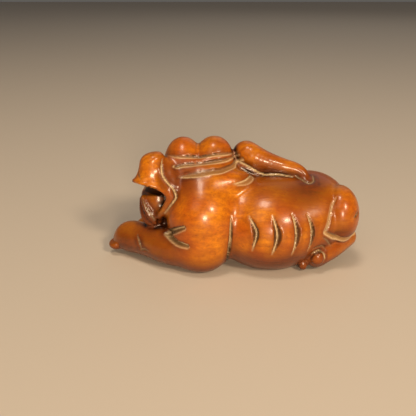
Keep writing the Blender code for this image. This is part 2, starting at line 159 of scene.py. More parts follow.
def near_path(points, path, reach):
    """The numbers of the points near the path, their offsets from it, the width and the way left.

    Where the path's rows go on with a normal, the offset is measured across the surface.
    """
    corner, far_corner = path[:, :3].min(axis=0) - reach, path[:, :3].max(axis=0) + reach
    close = np.flatnonzero(((points > corner) & (points < far_corner)).all(axis=1))
    inside = points[close]
    offsets = np.full((len(close), 3), FAR_OFF)
    widths = np.zeros(len(close))
    lefts = np.zeros((len(close), 3))
    best = np.full(len(close), np.inf)
    for start, end in zip(path[:-1], path[1:]):
        run = end[:3] - start[:3]
        share = np.clip((inside - start[:3]) @ run / max(run @ run, 1e-9), 0, 1)
        offset = inside - start[:3] - share[:, None] * run
        if len(start) > 4:
            depth = offset @ start[4:]
            offset = offset - depth[:, None] * start[4:]
            offset[np.abs(depth) > reach] = FAR_OFF
            left = np.cross(start[4:], run)
        width = start[3] + share * (end[3] - start[3])
        gap = np.linalg.norm(offset, axis=1) - width
        closer = gap < best
        best[closer] = gap[closer]
        offsets[closer] = offset[closer]
        widths[closer] = width[closer]
        if len(start) > 4:
            lefts[closer] = left / np.linalg.norm(left)
    return close, offsets, widths, lefts


class Limb:
    """A tapering, bending mass such as a leg or the trunk, by stations (x, y, z, radius)."""

    widest_blend = 4

    def __init__(self, *stations):
        self.path = smooth_path(stations)

    def distance(self, points):
        reach = self.path[:, 3].max() + self.widest_blend
        close, offsets, radii, _ = near_path(points, self.path, reach)
        skin = np.full(len(points), FAR_OFF)
        skin[close] = np.linalg.norm(offsets, axis=1) - radii
        return skin


bend = smooth_path([(0, 0, 0, 1), (5, 0, 0, 1), (9, 1, 0, 1)])
print("a limb of three stations has", len(bend), "rows")

# %% [markdown]
# Some masses belong together before they join the body, such as the two domes of the skull. A
# cluster joins them with a hollow of its own. A sliced mass has one flat face, where the knife took
# everything beyond a plane.

# %% Masses that belong together, and a mass with a flat face
class Cluster:
    """Masses joined to each other with a hollow of their own."""

    def __init__(self, blend, *masses):
        self.masses = masses
        self.blend = blend

    def distance(self, points):
        skin = self.masses[0].distance(points)
        for mass in self.masses[1:]:
            skin = smooth_min(skin, mass.distance(points), self.blend)
        return skin


class Sliced:
    """A mass without what lies beyond the plane through a point, square to a normal."""

    def __init__(self, mass, point, normal, blend=0.3):
        self.mass = mass
        self.point = np.array(point, float)
        self.normal = np.array(Vector(normal).normalized())
        self.blend = blend

    def distance(self, points):
        beyond = (points - self.point) @ self.normal
        return smooth_max(self.mass.distance(points), beyond, self.blend)


print("masses of this kind: domes, cheek, lips and nails")

# %% [markdown]
# ## The body
#
# The barrel of the body is one large egg, and the other masses lean on it: rump, chest, nape,
# shoulders, elbow and haunches. The last number of each row is the hollow, in millimetres, that the
# carver left where the mass meets the ones before it. The drawing runs from the front foot at -X to
# the rump at +X, with the near flank towards -Y and the underside at Z = 0.

# %% The masses of the body
def body_masses():
    return [
        (Egg((9.0, 0.0, 9.8), (15.5, 15.6, 12.2)), 0.1),
        (Egg((19.0, 0.2, 11.6), (10.4, 12.0, 10.2)), 3.0),
        (Egg((-5.0, 1.0, 12.0), (12.5, 12.6, 11.5)), 3.0),
        (Egg((-7.6, 0.0, 17.3), (9.8, 10.6, 9.1)), 2.0),
        (Egg((-7.6, -7.0, 12.4), (8.6, 7.8, 9.2)), 2.0),
        (Egg((-8.0, -8.4, 6.2), (7.4, 6.2, 6.6)), 2.0),
        (Egg((-6.0, 8.0, 11.0), (9.0, 7.2, 9.0)), 2.0),
        (Egg((25.4, -4.4, 12.8), (5.0, 6.6, 7.3)), 0.5),
        (Egg((23.6, 6.5, 11.6), (5.6, 6.4, 6.8)), 1.0),
        (Limb((-5.0, -5.0, 21.0, 3.6), (-1.0, -4.6, 20.8, 3.3), (1.4, -3.6, 20.6, 3.0)), 1.6),
        (Limb((-12.6, -0.8, 21.5, 4.2), (-8.5, -1.3, 21.5, 5.0), (-3.6, -0.8, 21.8, 4.6)), 1.5),
    ]


print(len(body_masses()), "masses make the body")

# %% [markdown]
# ## The legs
#
# The forelegs lie stretched to the front, and the hind feet are tucked under the haunches. Each is
# a limb whose radius falls towards the foot.

# %% The legs
def leg_masses():
    near_fore = Limb(
        (-8.0, -8.6, 5.4, 5.2),
        (-15.0, -6.6, 5.2, 4.8),
        (-20.0, -3.4, 5.2, 4.5),
        (-23.3, -1.4, 4.9, 4.1),
        (-26.0, 0.2, 4.7, 4.0),
        (-27.5, 0.7, 4.1, 3.2),
    )
    far_fore = Limb(
        (-6.0, 9.5, 5.4, 5.0),
        (-13.0, 9.4, 4.9, 4.6),
        (-18.5, 8.2, 4.6, 4.2),
        (-22.5, 6.8, 3.8, 3.4),
    )
    near_hind = Limb((28.0, -3.4, 6.3, 2.7), (23.8, -6.4, 4.9, 3.0), (20.0, -8.2, 3.7, 3.2))
    far_hind = Limb((26.6, 5.0, 5.0, 2.9), (22.2, 8.4, 4.3, 3.1), (18.0, 10.2, 3.7, 3.2))
    return [(near_fore, 1.0), (far_fore, 1.0), (near_hind, 0.6), (far_hind, 0.6)]


print(len(leg_masses()), "legs")

# %% [markdown]
# ## The head and the near ear
#
# From this side the back of the head shows: two domes side by side, the near ear hanging below the
# left one, and the cheek and the side of the mouth below the ear. The ear is carved like a bell,
# with a flared brim and a hollow under it, so it gets a small function of its own: the radius
# swells towards the brim, and a narrower bell is taken out from below.

# %% The bell of the near ear
class EarBell:
    """The near ear: a bell with a level top, a brim that flares out, and a hollow from below."""

    rim_centre = np.array((-19.9, -4.5, 19.7))
    rim_normal = np.array(Vector((0.33, 0.36, 1.0)).normalized())
    top_normal = np.array(Vector((-0.18, 0.0, 1.0)).normalized())
    lean = np.array((0.05, 0.04))
    narrowing = np.array((1.0, 1.12))
    neck_radius = 2.8
    flare = 2.4
    flare_run = 1.8
    wall = 1.3
    hollow_height = 3.6
    height = 8.4
    top_round = 2.0
    brim_round = 0.3
    side_lean = 0.85

    def beyond(self, points):
        """How far the points are outside the bell's side, and how far above its rim.

        The side leans, so the way square to it is shorter than the way along the radius.
        """
        offset = points - self.rim_centre
        above = offset @ self.rim_normal
        spread = (offset[:, :2] - offset[:, 2:] * self.lean) * self.narrowing
        radius = self.neck_radius + self.flare * np.exp(-np.maximum(above, 0) / self.flare_run)
        return (np.linalg.norm(spread, axis=1) - radius) * self.side_lean, above

    def distance(self, points):
        side, above = self.beyond(points)
        top = (points - self.rim_centre) @ self.top_normal - self.height
        outer = smooth_max(np.maximum(side, -above), top, self.top_round)
        hollow = np.maximum(side + self.side_lean * self.wall, above - self.hollow_height)
        return smooth_max(outer, -hollow, self.brim_round)


print("the ear's brim is", 2 * (EarBell.neck_radius + EarBell.flare), "mm across")

# %% The rest of the head
def head_masses():
    skull = Egg((-9.0, 4.0, 20.0), (8.6, 8.4, 7.6))
    temple = Egg((-12.4, 0.5, 21.6), (5.0, 6.0, 6.2))
    domes = Cluster(
        0.7,
        Egg((-12.4, 1.8, 25.5), (4.3, 4.6, 5.0)),
        Egg((-4.8, 1.8, 25.6), (4.6, 4.8, 5.1)),
    )
    cheek = Cluster(
        1.5,
        Egg((-18.4, -0.4, 15.5), (4.4, 4.8, 5.0), (0, 0, 20)),
        Limb((-19.0, -2.2, 16.2, 3.2), (-18.6, -3.6, 13.4, 2.1), (-18.4, -4.0, 10.8, 1.2)),
    )
    lip = Cluster(
        0.15,
        Limb(
            (-22.2, -3.6, 17.6, 0.5),
            (-21.6, -4.8, 15.6, 0.8),
            (-20.3, -5.6, 13.0, 0.9),
            (-19.3, -5.6, 11.0, 0.6),
        ),
        Limb(
            (-22.5, -2.0, 15.8, 0.7),
            (-22.3, -3.0, 13.4, 0.9),
            (-21.4, -4.0, 11.2, 1.0),
            (-19.6, -4.6, 10.2, 0.9),
        ),
    )
    lobe = Limb(
        (-17.4, -6.0, 23.8, 0.8),
        (-16.7, -7.2, 22.2, 1.1),
        (-15.6, -8.1, 20.4, 1.2),
        (-15.2, -8.4, 18.4, 1.0),
        (-16.4, -7.6, 15.8, 0.8),
        (-18.0, -6.2, 13.0, 0.7),
    )
    web = Limb(
        (-16.2, -2.6, 25.6, 0.9),
        (-15.6, -4.2, 24.4, 1.1),
        (-14.9, -5.9, 22.8, 1.2),
        (-14.4, -7.0, 21.0, 1.0),
    )
    flap = Limb(
        (-19.4, -3.0, 24.2, 2.6),
        (-18.8, -0.2, 22.4, 3.4),
        (-17.4, 3.0, 20.0, 4.2),
        (-16.0, 5.0, 17.5, 4.2),
    )
    return [
        (skull, 1.5),
        (temple, 1.5),
        (domes, 2.2),
        (Sliced(cheek, (-19.0, -5.6, 18.0), (-0.1, 0.1, 1.0)), 0.5),
        (Egg((-18.4, 1.0, 17.4), (3.8, 4.4, 5.6), (0, 0, 10)), 1.5),
        (lip, 0.25),
        (EarBell(), 0.3),
        (lobe, 1.6),
        (flap, 1.0),
        (web, 2.0),
    ]


print(len(head_masses()), "masses make the head")

# %% [markdown]
# ## The trunk and the nails
#
# The trunk leaves the face on the far side, sweeps round and lies along the spine, where its tip
# curls down into a small dimple. The nails stand proud of the feet, and the front one is a small
# block with a flat top.

# %% The trunk
def trunk_masses():
    trunk = Limb(
        (-9.8, 7.6, 19.6, 4.6),
        (-9.4, 12.0, 15.5, 4.4),
        (-5.0, 13.6, 12.6, 4.1),
        (0.8, 13.0, 14.2, 3.8),
        (4.2, 11.2, 18.4, 3.5),
        (4.4, 7.4, 23.0, 3.3),
        (3.1, 2.8, 26.0, 3.25),
        (7.2, 0.8, 24.8, 2.6),
        (11.7, 0.2, 23.6, 2.05),
        (14.9, -0.5, 23.0, 1.7),
        (16.7, -1.3, 22.1, 1.35),
        (17.4, -2.2, 20.8, 1.05),
    )
    bed = Limb(
        (2.0, 0.8, 23.4, 1.7),
        (5.0, 0.5, 22.8, 1.8),
        (8.5, 0.2, 22.4, 1.6),
        (12.0, -0.2, 22.0, 1.2),
        (15.0, -0.8, 21.6, 0.9),
    )
    return [(bed, 0.6), (trunk, 0.9)]


print("the trunk and the bed that it lies in are", len(trunk_masses()), "masses")

# %% The face, the far ear and the tail
EYES = ((-15.3, 8.9, 20.8), (-3.9, 10.2, 20.9))
EYE_RADII = (1.5, 1.2, 1.1)


def far_masses():
    """What lies out of the first view: eyes, lower jaw, tusk, far ear and tail."""
    tusk = Limb((-14.2, 9.8, 15.0, 1.4), (-15.8, 12.4, 12.8, 1.2), (-16.0, 13.8, 10.4, 0.7))
    tail = Limb(
        (26.8, 2.6, 15.6, 1.3),
        (28.9, 2.6, 13.4, 1.25),
        (29.3, 3.6, 10.0, 1.1),
        (28.9, 6.2, 6.8, 1.0),
        (27.0, 9.6, 5.2, 1.1),
        (24.9, 11.8, 4.0, 1.6),
        (23.0, 13.0, 2.8, 0.8),
    )
    eyes = [(Egg(centre, EYE_RADII), 0.15) for centre in EYES]
    return eyes + [
        (Egg((-12.6, 8.8, 12.4), (3.8, 3.8, 3.2)), 0.4),
        (tusk, 0.15),
        (Egg((1.4, 7.4, 17.4), (1.7, 4.8, 6.2), (0, -8, -25)), 0.3),
        (tail, 0.2),
    ]


print(len(far_masses()), "masses out of the first view")

# %% The nails
def nail_masses():
    front = Egg((-29.9, 0.0, 2.9), (2.0, 2.3, 1.6))
    far_fore = [(-25.3, 5.0, 2.4), (-25.7, 7.4, 2.4), (-24.4, 9.6, 2.4)]
    far_hind = [(16.6, 13.0, 4.0), (14.8, 11.4, 2.0)]
    far = [(Egg(centre, (1.2, 1.2, 1.6)), 0.15) for centre in far_fore + far_hind]
    return far + [
        (Sliced(front, (-29.9, 0.0, 3.9), (-0.45, -0.1, 1.0)), 0.15),
        (Egg((19.9, -10.9, 4.0), (1.6, 1.3, 1.9)), 0.15),
        (Egg((16.7, -9.9, 1.7), (1.1, 1.0, 1.3)), 0.15),
    ]


MASSES = body_masses() + leg_masses() + head_masses() + trunk_masses() + far_masses() + nail_masses()
print("the whole carving is", len(MASSES), "masses")

# %% [markdown]
# ## From masses to a skin
#
# A mesh gets onto the described form by walking. Each vertex asks how far it is from the skin and
# which way that is, and takes a step. The way comes from asking again a hair's breadth further
# along each axis. The underside is planed off at Z = 0, since the real one stands flat.

# %% Walk points onto the skin
PROBE = 0.02
STEP_LIMIT = 0.45
LEAST_SLOPE = 0.25


def masses_field(points):
    """Distance from the blended masses, below zero inside, before any fold is cut."""
    skin = np.full(len(points), FAR_OFF)
    for mass, blend in MASSES:
        skin = smooth_min(skin, mass.distance(points), blend)
    return np.maximum(skin, -points[:, 2])


def slope_of(points):
    """The distance at each point, and the way in which it grows fastest."""
    here = masses_field(points)
    steps = [masses_field(points + np.eye(3)[axis] * PROBE) - here for axis in range(3)]
    return here, np.stack(steps, axis=1) / PROBE


def settled(points, rounds, cuts=()):
    """The points, each walked square to the skin until it lies on it, or down in a cut."""
    for _ in range(rounds):
        here, slope = slope_of(points)
        depth = np.zeros(len(points))
        for cut in cuts:
            depth = np.maximum(depth, cut.depth_at(points))
        reach = (here + depth) / np.maximum((slope**2).sum(axis=1), LEAST_SLOPE)
        move = reach[:, None] * slope
        length = np.linalg.norm(move, axis=1, keepdims=True)
        points = points - move * np.minimum(1, STEP_LIMIT / np.maximum(length, 1e-9))
    return points


print("a point above the back settles at", np.round(settled(np.array([[10.0, -6.0, 26.0]]), 20)[0], 1))

# %% [markdown]
# ## The knife and the gouge
#
# Folds of skin are cut with a knife held at an angle, which leaves a straight-sided V, or with a
# small gouge, which leaves a round floor. Both start and end in nothing and are widest in between.
# A cut could be a Boolean with a thin wedge, but a wedge follows a curved flank badly. Here a cut is
# a path laid on the skin: near it, the wood is lower by an amount that depends on how far across the
# cut a point is. A lean makes one wall steep and the other broad, as a knife held low does.

# %% Make a cut
# The least half width of a cut in millimetres. The others are shares of the mesh's spacing: how far
# a vertex may be drawn to a cut's deepest line or to its edge, and from what half width to its edge
THINNEST = 0.05
LINE_PULL = 0.45
EDGE_PULL = 0.35
CLEAR_WIDTH = 1.2


class Cut:
    """A fold along stations (x, y, z, half width). Power 1 is a knife's V, less is a gouge.

    A lean of 0.5 puts the deepest line halfway to the left edge, seen along the path from outside,
    so that the wall on the left is steep and the one on the right is broad. The facet says how much
    painted light the broad wall and its lip get, and the wax how pale the deepest line is painted,
    as dried wax and painted highlight.
    """

    def __init__(self, depth, *stations, power=1.0, lean=0.0, lit_facet=0.0, wax_and_highlight=1.0):
        rows = np.array(stations, float)
        rows[:, :3] = settled(rows[:, :3], 12)
        self.path = smooth_path(rows)
        slope = slope_of(self.path[:, :3])[1]
        normals = slope / np.linalg.norm(slope, axis=1, keepdims=True)
        self.path = np.hstack([self.path, normals])
        self.widest = rows[:, 3].max()
        self.depth = depth
        self.power = power
        self.lean = lean
        self.lit_facet = lit_facet
        self.wax_and_highlight = wax_and_highlight

    def across(self, points):
        """What the cut looks like from each point in its reach.

        The answer is the numbers of those points, how far left of the path each one is and how
        far left the deepest line is, how near that line it is, from 0 at the edge to 1, then the
        half width of the cut there and the way left.
        """
        close, offsets, widths, lefts = near_path(points, self.path, self.widest * 1.5 + self.depth)
        widths = np.maximum(widths, THINNEST)
        side = np.sign((offsets * lefts).sum(axis=1))
        place = side * np.linalg.norm(offsets, axis=1)
        deepest = self.lean * widths
        room = np.where(place > deepest, widths - deepest, widths + deepest)
        return close, place, deepest, np.maximum(1 - np.abs(place - deepest) / room, 0), widths, lefts

    def depth_at(self, points):
        close, _, _, share, widths, _ = self.across(points)
        depth = np.zeros(len(points))
        depth[close] = self.depth * widths / self.widest * share**self.power
        return depth

    def drawn_to_lines(self, points, spacing):
        """The points, with those nearly on the cut's deepest line or edges moved onto them."""
        close, place, deepest, _, widths, lefts = self.across(points)
        moved = points.copy()
        clear = widths > CLEAR_WIDTH * spacing
        lines = [
            (deepest, LINE_PULL, widths > 0),
            (widths, EDGE_PULL, clear),
            (-widths, EDGE_PULL, clear),
        ]
        for line, pull, where in lines:
            way = line - place
            near = where & (np.abs(way) < pull * spacing)
            moved[close[near]] = points[close[near]] + (way[:, None] * lefts)[near]
        return moved


trial = Cut(1.0, (4.0, -14.0, 15.0, 0.1), (4.0, -14.5, 12.0, 1.0), (4.0, -14.0, 9.0, 0.1))
print("a trial cut of three stations on the flank is laid in", len(trial.path), "rows")

# %% [markdown]
# The flank has five folds, one behind the elbow and four over the ribs. They open in the middle like
# a leaf and close to a point at both ends. The far flank has the same ones.

# %% The folds of the flanks
RIB_DEPTH = 1.30


def flank_cuts():
    near = [
        (
            (-1.0, -11.9, 15.6, 0.1),
            (-1.0, -12.7, 12.2, 0.4),
            (-1.2, -12.4, 8.2, 0.45),
            (-1.5, -11.5, 4.6, 0.5),
            (-1.6, -9.0, 1.0, 0.6),
        ),
        ((3.0, -12.5, 15.8, 0.1), (4.6, -14.7, 12.2, 0.9), (3.9, -14.5, 7.6, 0.1)),
        ((8.3, -13.3, 16.3, 0.1), (9.6, -15.4, 11.7, 1.1), (8.4, -15.2, 6.9, 0.1)),
        ((12.8, -12.6, 16.5, 0.1), (14.3, -14.4, 12.0, 0.9), (13.1, -14.5, 6.5, 0.1)),
        ((16.4, -11.7, 15.9, 0.1), (18.0, -12.9, 11.8, 0.65), (17.1, -12.8, 6.7, 0.1)),
    ]
    far = [[(x, -y, z, width) for x, y, z, width in fold] for fold in near]
    return [Cut(RIB_DEPTH, *fold) for fold in near + far]


CUTS = flank_cuts()
print(len(CUTS), "folds on the flanks")

# %% [markdown]
# Below the domes the thick skin of the nape lies in three gouged wrinkles, and a crescent parts it
# from the back. Each has one steep wall with painted shade and one broad wall with painted light.

# %% Wrinkles of the nape
FOLD_DEPTH = 0.65
CRESCENT_DEPTH = 0.7 * FOLD_DEPTH


def nape_cuts():
    upper = (
        (-15.8, -1.7, 26.6, 0.1),
        (-13.1, -3.1, 27.1, 0.4),
        (-9.4, -2.6, 26.9, 0.5),
        (-5.6, -2.9, 27.4, 0.45),
        (-2.0, -1.8, 27.4, 0.4),
        (-0.2, 1.3, 26.6, 0.1),
    )
    middle = (
        (-15.8, -3.3, 24.4, 0.1),
        (-13.1, -4.6, 25.2, 0.5),
        (-8.0, -4.5, 25.9, 0.7),
        (-2.9, -3.3, 26.2, 0.55),
        (-0.8, -1.4, 26.2, 0.35),
        (-0.1, 0.8, 26.0, 0.15),
    )
    lower = (
        (-13.3, -6.1, 22.8, 0.1),
        (-11.0, -6.8, 23.6, 0.6),
        (-8.6, -7.0, 24.1, 0.9),
        (-4.3, -6.3, 24.6, 1.05),
        (-2.1, -4.9, 24.7, 0.85),
        (-0.3, -2.6, 24.7, 0.65),
        (0.9, 1.0, 24.4, 0.3),
    )
    crescent = (
        (3.4, -2.0, 23.0, 0.1),
        (4.2, -3.0, 22.5, 0.5),
        (3.9, -4.4, 22.2, 0.75),
        (2.7, -6.1, 21.8, 0.7),
        (0.9, -7.3, 21.7, 0.4),
        (-0.4, -7.8, 21.8, 0.1),
    )
    wrinkles = [
        Cut(FOLD_DEPTH, *line, power=0.9, lean=0.4, lit_facet=0.8, wax_and_highlight=0.2)
        for line in (upper, middle, lower)
    ]
    return wrinkles + [Cut(CRESCENT_DEPTH, *crescent, lean=-0.5, lit_facet=0.5)]


CUTS += nape_cuts()
print("with the nape there are", len(CUTS), "cuts")

# %% [markdown]
# Two creases meet in a V at the elbow. The haunch is set off by a thin line in front of it and by
# a broad, slanting cut above the hind foot.

# %% Creases of the legs
CREASE_DEPTH = 1.20
HAUNCH_LINE_DEPTH = 0.50


def leg_cuts():
    elbow = [
        ((-15.9, -8.7, 9.8, 0.9), (-13.8, -12.4, 12.0, 0.8), (-12.0, -13.6, 13.1, 0.6)),
        ((-15.8, -9.0, 9.8, 0.9), (-13.6, -12.5, 8.7, 0.8), (-11.3, -14.0, 8.6, 0.6)),
    ]
    haunch_front = (
        (23.7, -8.2, 19.0, 0.1),
        (22.8, -9.2, 17.1, 0.3),
        (22.1, -10.6, 14.9, 0.35),
        (21.7, -11.4, 12.9, 0.4),
        (21.1, -11.8, 11.4, 0.45),
    )
    haunch_under = (
        (21.1, -11.8, 11.2, 0.4),
        (23.3, -10.6, 9.6, 0.6),
        (25.8, -9.4, 8.4, 0.8),
        (28.2, -7.8, 8.2, 1.1),
        (29.8, -5.4, 8.6, 0.9),
        (30.2, -2.6, 9.0, 0.2),
    )
    creases = [Cut(CREASE_DEPTH, *line, power=0.7, lean=0.2, lit_facet=0.5) for line in elbow]
    return creases + [
        Cut(HAUNCH_LINE_DEPTH, *haunch_front, lean=0.4, lit_facet=0.5, wax_and_highlight=0.7),
        Cut(CREASE_DEPTH, *haunch_under, lean=0.6, lit_facet=1.0, wax_and_highlight=0.2),
    ]


CUTS += leg_cuts()
print("with the legs there are", len(CUTS), "cuts")

# %% [markdown]
# The small knife made the rest: creases over the wrist and the hind foot, the dimple round the tip
# of the trunk, and hair-fine grooves that set one form off from the next.

# %% Fine creases
FINE_DEPTH = 0.45


def fine_cuts():
    lines = [
        ((29.5, -8.2, 14.6, 0.4), (28.7, -9.4, 14.4, 0.4), (28.0, -10.1, 14.1, 0.1)),
        (
            (20.5, -12.0, 9.9, 0.1),
            (21.6, -11.3, 9.0, 0.3),
            (22.6, -10.3, 7.6, 0.35),
            (23.2, -9.5, 6.4, 0.1),
        ),
        (
            (18.3, -12.2, 6.8, 0.1),
            (19.5, -11.8, 7.3, 0.3),
            (20.9, -11.0, 7.1, 0.35),
            (21.8, -10.2, 5.9, 0.1),
        ),
        ((-23.8, -5.1, 7.7, 0.1), (-23.3, -6.4, 6.1, 0.5), (-22.7, -6.9, 4.3, 0.3)),
        ((-23.0, -6.6, 4.0, 0.3), (-22.0, -7.5, 4.6, 0.4), (-20.8, -8.4, 4.5, 0.1)),
        (
            (15.1, -2.0, 21.7, 0.3),
            (16.4, -3.6, 21.2, 0.5),
            (17.7, -4.7, 20.8, 0.6),
            (19.0, -3.7, 21.0, 0.5),
            (19.1, -1.5, 21.4, 0.3),
        ),
        ((-22.5, -5.0, 25.6, 0.1), (-22.8, -5.3, 24.0, 0.3), (-22.2, -7.2, 22.7, 0.1)),
    ]
    return [Cut(FINE_DEPTH, *line, wax_and_highlight=0.35) for line in lines]


CUTS += fine_cuts()
print("with the fine creases there are", len(CUTS), "cuts")

# %% Grooves that outline the forms
LINE_DEPTH = 0.30


def outlining_cuts():
    """Hair-fine grooves that set one form off from the next, with a pale line of wax and painted
    highlight in them.
    """
    behind_ear = (
        (-17.0, -5.3, 27.2, 0.2),
        (-17.2, -5.9, 25.5, 0.4),
        (-16.9, -7.6, 24.0, 0.45),
        (-15.6, -8.6, 22.3, 0.45),
        (-14.2, -8.9, 20.6, 0.45),
        (-13.8, -9.3, 18.9, 0.45),
        (-15.2, -8.9, 16.7, 0.35),
        (-16.6, -7.8, 14.6, 0.2),
    )
    under_trunk = (
        (0.4, 1.1, 25.0, 0.2),
        (2.5, -0.1, 24.1, 0.4),
        (4.2, -0.1, 23.2, 0.4),
        (7.1, -0.6, 22.2, 0.35),
        (10.7, -1.2, 22.1, 0.35),
        (14.1, -2.2, 21.6, 0.3),
    )
    round_nail = (
        (18.5, -11.6, 5.4, 0.2),
        (19.8, -11.2, 6.1, 0.35),
        (21.1, -10.8, 5.5, 0.35),
        (21.6, -10.8, 4.2, 0.35),
        (21.2, -11.2, 3.0, 0.2),
    )
    jaw = (
        (-22.2, -4.8, 16.9, 0.2),
        (-21.2, -6.0, 14.9, 0.4),
        (-20.0, -6.4, 13.3, 0.4),
        (-19.3, -6.2, 12.0, 0.2),
    )
    lines = (behind_ear, under_trunk, round_nail)
    return [Cut(LINE_DEPTH, *line) for line in lines] + [Cut(FINE_DEPTH, *jaw, wax_and_highlight=0.3)]


CUTS += outlining_cuts()
print("with the outlines there are", len(CUTS), "cuts")

# %% [markdown]
# The face looks away from the first view, and is plainer. It gets lids over and under each eye, and
# short wrinkles across the root of the trunk.

# %% The face
def face_cuts():
    lids = []
    for x, y, z in EYES:
        for rise, width in ((1.5, 0.45), (-1.4, 0.35)):
            lids.append(((x - 2.0, y, z, 0.1), (x, y + 1.2, z + rise, width), (x + 2.0, y, z, 0.1)))
    rings = [
        ((x - 2.6, 15.0, z - 1.6, 0.1), (x, 16.6, z, 0.4), (x + 1.8, 15.0, z + 1.8, 0.1))
        for x, z in ((-10.0, 17.4), (-8.4, 15.2), (-6.4, 13.4))
    ]
    return [Cut(FINE_DEPTH, *line) for line in lids + rings]


CUTS += face_cuts()
print("the carver makes", len(CUTS), "cuts in all")

# %% [markdown]
# ## Carve the fine mesh
#
# The copy of the simple model is first laid into the drawing. Then a voxel remesh spreads its faces
# evenly, the vertices walk onto the masses, and a finer remesh and a second walk bring in the cuts.
# Between walks each vertex moves towards the middle of its neighbours, which keeps the faces even.

# %% Lay the simple model into the drawing
# Seen from above, the middle of the whole carving lies here in the drawing, in millimetres
DRAWN_MIDDLE = np.array((-0.5, 1.05, 0.0))


def evaluated(thing):
    """The mesh that the object's modifiers make. The object is removed."""
    bpy.context.view_layer.update()
    graph = bpy.context.evaluated_depsgraph_get()
    mesh = bpy.data.meshes.new_from_object(thing.evaluated_get(graph))
    bpy.data.objects.remove(thing)
    return mesh


def remeshed(mesh, voxel):
    thing = bpy.data.objects.new("work", mesh)
    bpy.context.scene.collection.objects.link(thing)
    even = thing.modifiers.new("Even faces", "REMESH")
    even.mode = "VOXEL"
    even.voxel_size = voxel
    return evaluated(thing)


def vertices_of(mesh):
    points = np.empty(len(mesh.vertices) * 3)
    mesh.vertices.foreach_get("co", points)
    return points.reshape(-1, 3)


def place_vertices(mesh, points):
    mesh.vertices.foreach_set("co", points.ravel())
    mesh.update()


mesh = block.data.copy()
centre = (low + high) / 2
centre[2] = 0
place_vertices(mesh, (vertices_of(mesh) - centre) * MM + DRAWN_MIDDLE)
print("the copy has", len(mesh.vertices), "vertices")

# %% Carve it
ROUGH_VOXEL = 0.5
FINE_VOXEL = 0.31
EVEN_SHARE = 0.5


def evened(mesh, points, share):
    """The points, each moved a share of the way to the middle of its neighbours."""
    ends = np.empty(len(mesh.edges) * 2, np.int32)
    mesh.edges.foreach_get("vertices", ends)
    first, second = ends.reshape(-1, 2).T
    count = np.bincount(ends, minlength=len(points))
    middle = np.empty_like(points)
    for axis in range(3):
        value = points[:, axis]
        middle[:, axis] = np.bincount(first, value[second], len(points))
        middle[:, axis] += np.bincount(second, value[first], len(points))
    return points + share * (middle / count[:, None] - points)


mesh = remeshed(mesh, ROUGH_VOXEL)
points = vertices_of(mesh)
for _ in range(3):
    points = settled(evened(mesh, points, EVEN_SHARE), 2)
place_vertices(mesh, points)
mesh = remeshed(mesh, FINE_VOXEL)
points = vertices_of(mesh)
points = settled(evened(mesh, points, EVEN_SHARE), 2)
points = settled(evened(mesh, points, EVEN_SHARE), 2, CUTS)
for cut in CUTS:
    points = cut.drawn_to_lines(points, FINE_VOXEL)
points = settled(points, 3, CUTS)
place_vertices(mesh, points)
print("the carved mesh has", len(mesh.polygons), "faces")

# %% [markdown]
# ## What the distance knows about stain, shade and light
#
# Stain gathers where a brush can't be wiped out, and the colour of this carving also holds painted
# shade: recesses, the hollow under the ear and the gap below it, the steep wall of each cut, and the
# skin low down and under the body are darkened where shade falls, and the broad wall and lip of each
# cut are painted pale where light catches them. Wax dries pale at the bottom of a cut. Ambient
# occlusion could give the shade of the recesses at render time, but it would be lost in other
# programs. The distance function says it directly: a short way out from the skin, the distance is
# shorter than the way where other wood is close by. So five numbers are stored at each vertex, from
# 0 to 1: how much painted shade it gets in a recess, how much painted shade on a cut's dark wall,
# how much painted light on its pale facet, how much of the pale line of wax and painted highlight,
# and how thick the stain and painted shade are.

# %% Painted shade and light on the walls of the cuts, and their pale lines
# Half the width of the pale line of wax and painted highlight, and the half width from which a cut
# has its full colour, both in millimetres. The ramp gives a wall its full painted shade from a
# quarter of the way down, and where a facet is painted light, the wall beside it loses this share of
# its painted shade
PALE_LINE = 0.28
FULL_WIDTH = 0.4
WALL_RAMP = 4
SHADE_LOST_TO_FACET = 0.6


def finish_of_cuts(points):
    """How much painted shade each point gets on a dark wall, painted light on a pale facet, and pale
    line of wax and painted highlight, from 0 to 1.
    """
    wall, lit_facet, wax_and_highlight = np.zeros((3, len(points)))
    for cut in CUTS:
        close, place, deepest, share, widths, _ = cut.across(points)
        size = np.clip(widths / FULL_WIDTH, 0, 1)
        on_wall = np.clip(WALL_RAMP * share, 0, 1) * size
        lean = np.sign(cut.lean)
        # The broad wall gets painted light, its lip a painted highlight, the deepest line a pale line
        # of wax and painted highlight, and the rest of the wall painted shade.
        broad = cut.lit_facet * np.clip(lean * (deepest - place) / PALE_LINE, 0, 1)
        lip = cut.lit_facet * np.clip(1 - np.abs(lean * place + widths) / PALE_LINE, 0, 1)
        line = cut.wax_and_highlight * np.clip(1 - np.abs(place - deepest) / PALE_LINE, 0, 1)
        wall_shade = on_wall * (1 - broad) * (1 - SHADE_LOST_TO_FACET * cut.lit_facet)
        wall[close] = np.maximum(wall[close], wall_shade)
        lit_facet[close] = np.maximum(lit_facet[close], on_wall * broad)
        wax_and_highlight[close] = np.maximum(wax_and_highlight[close], size * np.maximum(line, lip))
    return wall, lit_facet, wax_and_highlight


# The pale line is dried wax and painted highlight.
print("the pale line of wax fades out over", PALE_LINE, "mm on each side")

# %% The stain and painted shade
# Painted shade lies low on the body, where the skin faces down, and in a halo round each cut.
# Heights and widths are in millimetres, and the others are depths of darkening from 0 to 1
LOW_HEIGHT = 9.0
LOW_SHADE = 0.8
UNDER_SHADE = 0.8
UNDER_START = 0.1
HALO_WIDTH = 1.0
HALO_SHADE = 0.4
